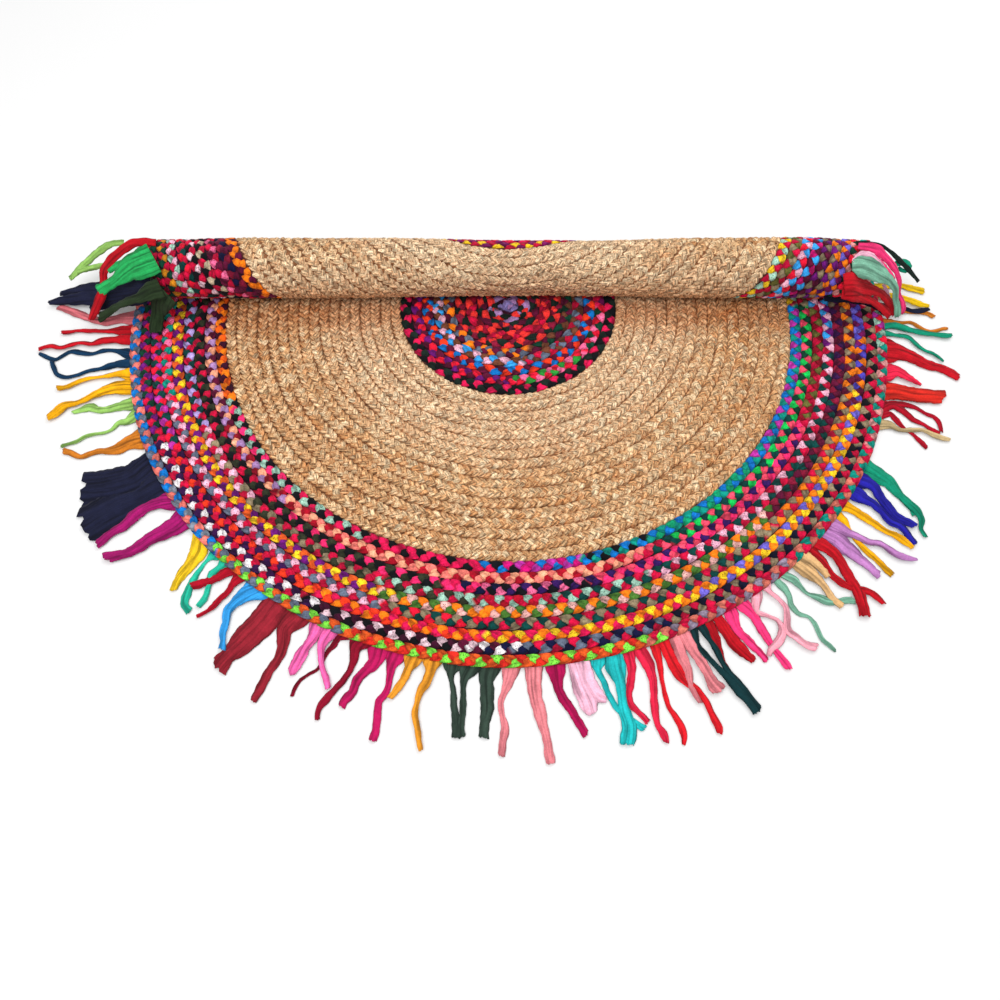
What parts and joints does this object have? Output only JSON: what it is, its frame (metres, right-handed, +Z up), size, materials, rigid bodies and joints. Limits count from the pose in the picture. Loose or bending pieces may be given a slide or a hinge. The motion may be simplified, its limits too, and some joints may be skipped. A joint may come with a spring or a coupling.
{
  "type": "round rag rug",
  "caption": "Round braided rug of cotton rags and jute with a torn rag fringe, near half flat, far half rolled up towards the front.",
  "frame": {"origin": "centre of the round rug on its underside, where it rests on the floor", "axes": "+Z up, +X along the roll to the viewer's right, -Y towards the viewer, over the half that lies flat"},
  "size_m": [1.4746, 0.8823, 0.1008],
  "materials": {
    "centre_cotton": "plaited woven cotton rags, matt",
    "jute": "plaited natural jute fibre, matt with a slight sheen",
    "border_cotton": "plaited woven cotton rags, matt",
    "fringe_cotton": "torn woven cotton rags, matt"
  },
  "bodies": {
    "root": {"centre_medallion": "centre_cotton", "jute_field": "jute", "border_band": "border_cotton", "fringe_front": "fringe_cotton", "fringe_left": "fringe_cotton", "fringe_right": "fringe_cotton", "fringe_core": "fringe_cotton"}
  },
  "joints": []
}
